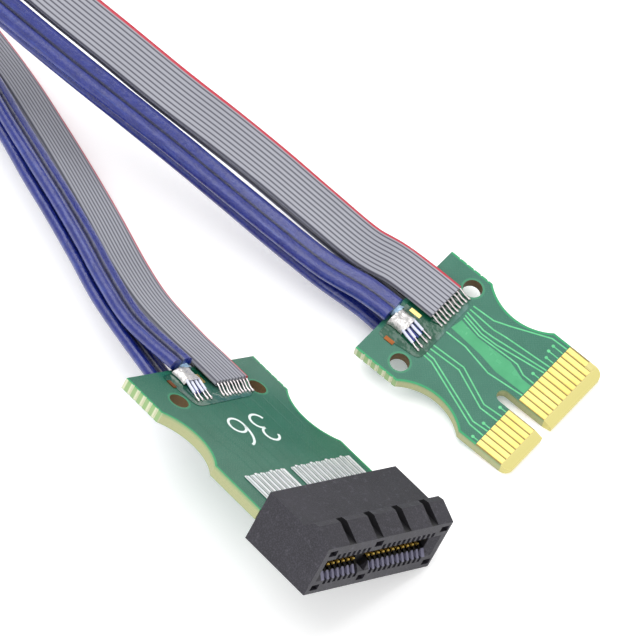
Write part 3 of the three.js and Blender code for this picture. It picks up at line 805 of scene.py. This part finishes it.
def resin_paint():
    """Clear resin over green mask: deep green, wet and uneven, with a painted highlight along its front edge."""
    paint = Paint("cured_resin", Specular_IOR_Level=0.6, Coat_Weight=0.6, Coat_Roughness=0.04)
    coords = paint.place()
    height = paint.attribute("rise")
    cloud = paint.noise(coords, 420, 3)
    base = paint.mix(cloud, rgb(4, 50, 36), rgb(14, 88, 60))
    # Painted highlight: a pale band along the film's front edge.
    base = paint.mix(paint.attribute("front_highlight") * (0.2 + cloud * 0.3), base, rgb(120, 168, 168))
    paint.colour(paint.mix(height * 0.1, base, rgb(30, 110, 84)))
    paint.rough(0.05 + cloud * 0.12)
    paint.bump(cloud, 0.18, 0.7)
    return paint


def copper_run_paint():
    """Copper runs under the mask, pale bright green."""
    paint = Paint("copper_under_mask", Specular_IOR_Level=0.6)
    coords = paint.place()
    cloud = paint.noise(coords, 900, 3)
    paint.colour(paint.mix(cloud, rgb(66, 176, 112), rgb(112, 216, 152)))
    paint.rough(0.18 + cloud * 0.15)
    paint.bump(cloud, 0.01, 0.4)
    return paint


def copper_pour_paint():
    paint = Paint("copper_pour_under_mask", Specular_IOR_Level=0.6)
    coords = paint.place()
    cloud = paint.noise(coords, 500, 3)
    paint.colour(paint.mix(cloud, rgb(44, 142, 92), rgb(72, 172, 118)))
    paint.rough(0.18 + cloud * 0.15)
    paint.bump(cloud, 0.01, 0.4)
    return paint


def insulation_paint(name, low, high):
    """Thin glossy insulation of one core."""
    paint = Paint(name, Specular_IOR_Level=0.6)
    coords = paint.place()
    cloud = paint.noise(coords, 1500, 3)
    paint.colour(paint.mix(cloud, low, high))
    paint.rough(0.25 + cloud * 0.2)
    paint.bump(cloud, 0.03, 0.5)
    return paint


def foil_paint(name, low, high, metal):
    """Crumpled foil, painted brighter on its raised facets as highlights and darker between them as shade."""
    paint = Paint(name, Metallic=metal)
    coords = paint.place()
    facet = paint.noise(coords, 1400, 4, 0.6)
    fine = paint.noise(coords, 5000, 3)
    # Painted highlight and shade: the colour follows the facet noise that also raises the bump.
    paint.colour(paint.mix(facet, low, high))
    paint.rough(0.18 + fine * 0.25)
    paint.bump(facet * 0.8 + fine * 0.2, 0.18, 0.9)
    return paint


def printed_paint():
    paint = Paint("white_printing", Specular_IOR_Level=0.3)
    grain = paint.noise(paint.place(), 4000, 3)
    paint.colour(paint.mix(grain, rgb(206, 226, 222), rgb(246, 250, 248)))
    paint.rough(0.5 + grain * 0.2)
    return paint


make_camera()
cords = make_cords()

PLUG_PAINT = board_paint(
    "plug_board_mask", PLUG, (rgb(26, 94, 74), rgb(52, 114, 94)), PLUG_WIDTH, PLUG_LENGTH, True
)
SOCKET_PAINT = board_paint(
    "socket_board_mask", SOCKET, (rgb(12, 86, 62), rgb(34, 104, 82)), SOCKET_WIDTH, SOCKET_LENGTH,
    False,
)
BLACK = plastic_paint()
CONTACT = contact_paint()
TIN = plated_paint("tinned_wire", rgb(190, 180, 180), rgb(246, 240, 240), 0.2)
SOLDER = plated_paint("solder_pad", rgb(230, 230, 234), rgb(255, 255, 255), 0.3, 0.6)
GOLD_PAD = plated_paint("gold_pad", rgb(240, 206, 120), rgb(255, 236, 168), 0.3)
COPPER_PAD = plated_paint("copper_pad", rgb(112, 62, 34), rgb(164, 104, 62), 0.3)
RESIN = resin_paint()
COPPER_RUN = copper_run_paint()
POUR = copper_pour_paint()
PRINT = printed_paint()
PALE_CORE = insulation_paint("pale_core_insulation", rgb(200, 204, 230), rgb(238, 240, 252))
NAVY_CORE = insulation_paint("navy_core_insulation", rgb(22, 32, 96), rgb(46, 62, 150))
FOIL = foil_paint("shield_foil", rgb(150, 146, 146), rgb(250, 248, 246), 0.75)
BLUE_FOIL = foil_paint("pale_blue_film", rgb(120, 168, 204), rgb(214, 236, 250), 0.3)

# Copper runs of the plug board, as v and u in millimetres
PLUG_RUNS = [
    [(2.6, 6.9), (2.35, 12.0), (4.75, 17.3), (4.5, 20.1)],
    [(3.3, 7.1), (3.1, 11.8), (5.5, 17.3), (5.4, 20.1)],
    [(4.1, 7.1), (4.15, 8.4), (7.7, 17.8), (7.5, 20.1)],
    [(4.65, 7.0), (4.75, 8.5), (8.35, 17.8), (8.4, 20.1)],
    [(-5.7, 7.2), (-5.9, 10.5), (-6.8, 12.6), (-9.3, 17.7), (-9.4, 20.1)],
    [(-5.0, 7.2), (-4.8, 11.3), (-5.1, 13.2), (-5.7, 20.1)],
    [(-4.4, 7.2), (-3.8, 10.4), (-3.9, 12.0), (-5.0, 20.1)],
    [(-3.85, 7.3), (-3.2, 10.6), (-3.3, 13.0), (-4.5, 20.1)],
    [(-3.4, 7.4), (-2.75, 10.5), (-3.0, 15.6), (-3.0, 16.8), (-2.3, 18.3), (-2.3, 20.1)],
    [(-0.15, 6.6), (-0.2, 10.2), (0.75, 14.8), (0.15, 20.1)],
]
PLUG_STUBS = [(-7.5, 18.5), (-8.5, 18.5), (-6.5, 18.9), (9.45, 19.2), (6.95, 19.0), (3.6, 19.1), (-3.4, 19.1)]
PLUG_POUR = [
    (-1.1, 7.1), (-2.95, 7.4), (-2.4, 10.6), (-2.65, 15.9), (-2.3, 17.0), (-1.75, 18.6),
    (-1.75, 20.1), (-0.2, 20.1), (-0.1, 15.4), (-0.7, 12.2),
]
RUN_WIDTH = 0.2
RUN_HEIGHT = 0.02


def make_runs():
    for under in (False, True):
        mesh = bmesh.new()
        for points in PLUG_RUNS:
            add_strip(mesh, points, RUN_WIDTH, RUN_HEIGHT)
        for v, u in PLUG_STUBS:
            add_strip(mesh, [(v, 20.1), (v, u)], 0.16, RUN_HEIGHT)
            ring = [(v + 0.24 * math.cos(a), u + 0.24 * math.sin(a)) for a in
                    (2 * math.pi * i / 10 for i in range(10))]
            add_plate(mesh, ring, RUN_HEIGHT * 1.4)
        face = "bottom" if under else "top"
        board_piece(f"copper_runs_{face}", mesh, PLUG, [COPPER_RUN], under, slot="board", smooth=0)
        mesh = bmesh.new()
        add_plate(mesh, PLUG_POUR, RUN_HEIGHT * 0.7)
        board_piece(f"copper_pour_{face}", mesh, PLUG, [POUR], under, slot="board", smooth=0)


def make_soldered_ends():
    """Bare ribbon wires, shield foil, data wires, pads and resin on each face of each board."""
    left = RIBBON_CENTRE - RIBBON_WIDTH / 2
    core = CORD_GAP + RIBBON_THICKNESS / 2
    for board, matrix in (("plug", PLUG), ("socket", SOCKET)):
        for face in ("top", "bottom"):
            under = face == "bottom"
            tag = f"{board}_{face}"
            mesh = bmesh.new()
            for i in range(RIBBON_CORES):
                v = left + (i + 0.5) * CORE_PITCH
                drift = 0.05 * math.sin(i * 2.4)
                end = 6.12 + 0.09 * math.sin(i * 1.7 + 1)
                add_wire(mesh, [
                    (v, RIBBON_END - 0.15, core), (v, RIBBON_END + 0.2, core),
                    (v + drift, 4.95, core - 0.14), (v + drift, 5.4, 0.36), (v, 5.8, 0.22),
                    (v, end, 0.2), (v, end + 0.16, 0.16),
                ], [0.13, 0.13, 0.13, 0.13, 0.14, 0.19, 0.07])
            board_piece(f"bare_wires_{tag}", mesh, matrix, [TIN], under,
                        replaced=[f"wire_row_{tag}"], slot="tinned_wire", smooth=60)
            mesh = bmesh.new()
            tips = (2.2, 2.95, 3.95, 4.7)
            for i, (root, tip) in enumerate(zip((1.9, 2.63, 3.37, 4.1), tips)):
                bare = 4.75 + 0.25 * (i % 2)
                share = (bare - 3.0) / 3.2
                knee = root + (tip - root) * share
                add_wire(mesh, [(root, 2.9, 0.7), (root + (knee - root) * 0.5, 3.8, 0.56), (knee, bare, 0.4)],
                         0.2, material=0)
                add_wire(mesh, [(knee, bare - 0.1, 0.4), (tip - 0.05, 5.6, 0.26), (tip, 6.15, 0.22), (tip, 6.32, 0.16)],
                         [0.13, 0.13, 0.2, 0.07], material=2)
            for v in (2.25, 3.0, 3.72):
                add_wire(mesh, [(v, 2.9, 0.36), (v + 0.16, 4.1, 0.3), (v + 0.26, 5.0, 0.2)], 0.15, material=1)
            board_piece(f"data_wires_{tag}", mesh, matrix, [PALE_CORE, NAVY_CORE, TIN], under,
                        replaced=[f"data_end_{tag}"], slot="tinned_wire", smooth=60)
            make_foil(tag, matrix, under)
            make_resin(tag, matrix, under)
            mesh = bmesh.new()
            add_plate(mesh, rounded([(0.3, 1.55), (0.9, 1.55), (0.9, 3.25), (0.3, 3.25)], 0.08), 0.11, 0, 0.05, 0.01)
            add_plate(mesh, rounded([(5.9, 1.75), (6.5, 1.75), (6.5, 3.2), (5.9, 3.2)], 0.08), 0.11, 1, 0.05, 0.01)
            board_piece(f"bare_pads_{tag}", mesh, matrix, [GOLD_PAD, COPPER_PAD], under, slot="contact", smooth=30)


def make_foil(tag, matrix, under):
    """Crumpled shield foil folded over the cores, and a tab of pale film behind it."""
    for name, centre, size, height, paint, seed in (
        ("shield_foil", (2.95, 1.95), (2.9, 2.5), 1.12, FOIL, 3),
        ("film_tab", (2.2, 0.42), (1.9, 1.0), 1.22, BLUE_FOIL, 8),
    ):
        mesh = bmesh.new()
        grid = bmesh.ops.create_grid(mesh, x_segments=22, y_segments=18, size=0.5)
        for vert in grid["verts"]:
            a, b = vert.co.x * 2, vert.co.y * 2
            fall = abs(a) ** 5
            ruffle = noise.noise(Vector((a * 1.7, b * 1.9, seed)))
            crumple = noise.noise(Vector((a * 4.5, b * 4.2, seed + 5)))
            flare = 1 + 0.1 * b * b
            vert.co = (
                centre[0] + a * size[0] / 2 * flare + crumple * 0.08,
                centre[1] + b * size[1] / 2 + ruffle * 0.22 * abs(b),
                max(0.16, height * (1 - 0.72 * fall) * (0.88 + 0.12 * ruffle + 0.06 * crumple)),
            )
        bmesh.ops.solidify(mesh, geom=mesh.faces[:], thickness=0.07)
        bmesh.ops.recalc_face_normals(mesh, faces=mesh.faces)
        board_piece(f"{name}_{tag}", mesh, matrix, [paint], under, slot="tinned_wire", smooth=50)


RESIN_OUTLINE = [
    (-6.3, 0.7), (-6.1, 4.2), (-5.9, 6.3), (-5.2, 6.9), (4.9, 7.15), (5.7, 6.7), (5.95, 4.4),
    (6.5, 1.2), (6.2, 0.7),
]


def make_resin(tag, matrix, under):
    """A low film of cured resin round the wires, its rim drawn down to the board."""
    mesh = bmesh.new()
    add_plate(mesh, rounded(RESIN_OUTLINE, 0.8), 0.02, 0, 0.5, 0.05)
    rise = mesh.verts.layers.float.new("rise")
    front_highlight = mesh.verts.layers.float.new("front_highlight")
    for vert in mesh.verts:
        vert[rise] = min(max((vert.co.z - 0.02) / 0.05, 0), 1)
        # Marks the front edge band that gets the painted highlight.
        vert[front_highlight] = 1.0 if vert.co.y > 6.3 and -5.2 < vert.co.x < 3.8 else 0.0
    board_piece(f"resin_film_{tag}", mesh, matrix, [RESIN], under,
                replaced=[f"resin_{tag}"], slot="resin", smooth=60)


def make_solder_pads():
    """Solder pads under the tails of the socket's contacts."""
    guards = [KEY_CENTRE + 0.5, PINS[-1] - 1.0]
    for face in ("top", "bottom"):
        mesh = bmesh.new()
        for i, v in enumerate([*PINS, *(guards if face == "top" else [])]):
            start = 20.15 + 0.12 * math.sin(i * 2.1)
            corners = [(v - 0.28, start), (v + 0.28, start), (v + 0.28, 25.85), (v - 0.28, 25.85)]
            add_plate(mesh, rounded(corners, 0.25, 3), 0.02, 0, 0.16, 0.11)
        board_piece(f"solder_pads_{face}", mesh, SOCKET, [SOLDER], face == "bottom", slot="tinned_wire", smooth=60)


def arc_points(centre, radius, start, end, steps=14):
    """Points on an oval arc, in degrees from +v towards +u."""
    angles = [math.radians(start + (end - start) * i / steps) for i in range(steps + 1)]
    return [(centre[0] + radius[0] * math.cos(a), centre[1] + radius[1] * math.sin(a)) for a in angles]


def make_number():
    """The board's plain printed number, 36."""
    top = arc_points((-2.0, 13.95), (1.1, 1.22), 165, -90)
    bottom = arc_points((-2.0, 11.42), (1.25, 1.3), 90, -165)
    far_half = arc_points((2.25, 11.45), (1.2, 1.33), 0, 180)
    near_half = arc_points((2.25, 11.45), (1.2, 1.33), 180, 360)
    sweep = arc_points((3.25, 11.6), (2.2, 3.6), 178, 98)
    mesh = bmesh.new()
    for points in (top, bottom, far_half, near_half, sweep):
        add_strip(mesh, points, 0.36, 0.02)
    board_piece("printed_number", mesh, SOCKET, [PRINT], slot="board", smooth=0)


dress("plug_board", PLUG_PAINT)
dress("socket_board", SOCKET_PAINT)
dress("socket_housing", BLACK)
for i in range(1, len(PINS) + 1):
    dress(f"contact_top_{i:02d}", CONTACT)
    dress(f"contact_bottom_{i:02d}", CONTACT)
dress("guard_tail_right", SOLDER)
dress("guard_tail_left", SOLDER)
make_runs()
make_soldered_ends()
make_solder_pads()
make_number()


# Stage
def make_stage():
    mesh = bmesh.new()
    bmesh.ops.create_grid(mesh, x_segments=1, y_segments=1, size=4)
    data = bpy.data.meshes.new("floor")
    mesh.to_mesh(data)
    mesh.free()
    floor = bpy.data.objects.new("floor", data)
    bpy.context.scene.collection.objects.link(floor)
    paint = Paint("pale_floor", Roughness=0.9, Specular_IOR_Level=0.1)
    paint.shader.inputs["Base Color"].default_value = (0.95, 0.95, 0.95, 1)
    paint.shader.inputs["Emission Color"].default_value = (1, 1, 1, 1)
    paint.shader.inputs["Emission Strength"].default_value = 0.25
    data.materials.append(paint.material)


def area_light(name, place, aim, size, power):
    data = bpy.data.lights.new(name, "AREA")
    data.shape = "RECTANGLE"
    data.size = size[0]
    data.size_y = size[1]
    data.energy = power
    light = bpy.data.objects.new(name, data)
    bpy.context.scene.collection.objects.link(light)
    light.location = place
    light.rotation_mode = "QUATERNION"
    light.rotation_quaternion = (Vector(aim) - Vector(place)).to_track_quat("-Z", "Y")


def make_lights():
    world = bpy.data.worlds.new("studio")
    world.use_nodes = True
    world.node_tree.nodes["Background"].inputs["Color"].default_value = (1, 1, 1, 1)
    world.node_tree.nodes["Background"].inputs["Strength"].default_value = 0.8
    bpy.context.scene.world = world
    bpy.context.scene.view_settings.view_transform = "Standard"
    middle = (0, 0.04, 0)
    area_light("soft_top", (0.1, 0.3, 0.9), middle, (0.9, 0.9), 6)
    area_light("soft_side", (-0.7, -0.5, 0.5), middle, (0.6, 0.6), 2.5)


make_stage()
make_lights()
